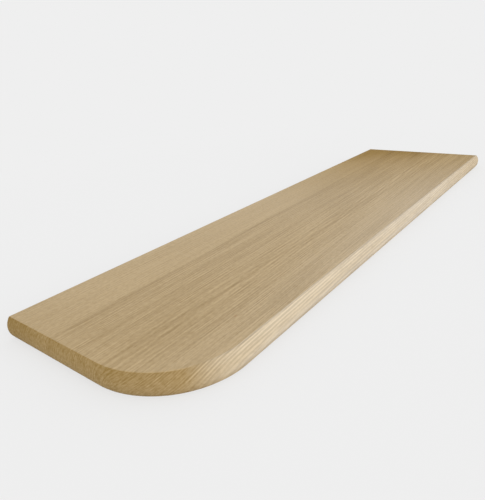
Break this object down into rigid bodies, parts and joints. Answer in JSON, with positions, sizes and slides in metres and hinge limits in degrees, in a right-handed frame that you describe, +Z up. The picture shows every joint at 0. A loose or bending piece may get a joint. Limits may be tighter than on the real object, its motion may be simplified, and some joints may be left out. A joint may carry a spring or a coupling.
{
  "type": "stair tread",
  "caption": "Flat oak stair tread with a rounded front-left corner, a shallow convex nosing along its front edge and left end, and a square-cut back edge and right end.",
  "frame": {"origin": "middle of the underside", "axes": "+X along the length from the open end to the wall end, -Y towards the front edge, +Z up through the walking face"},
  "size_m": [0.9999, 0.2649, 0.027],
  "materials": {
    "oak": "satin"
  },
  "bodies": {
    "root": {"tread": "oak"}
  },
  "joints": []
}
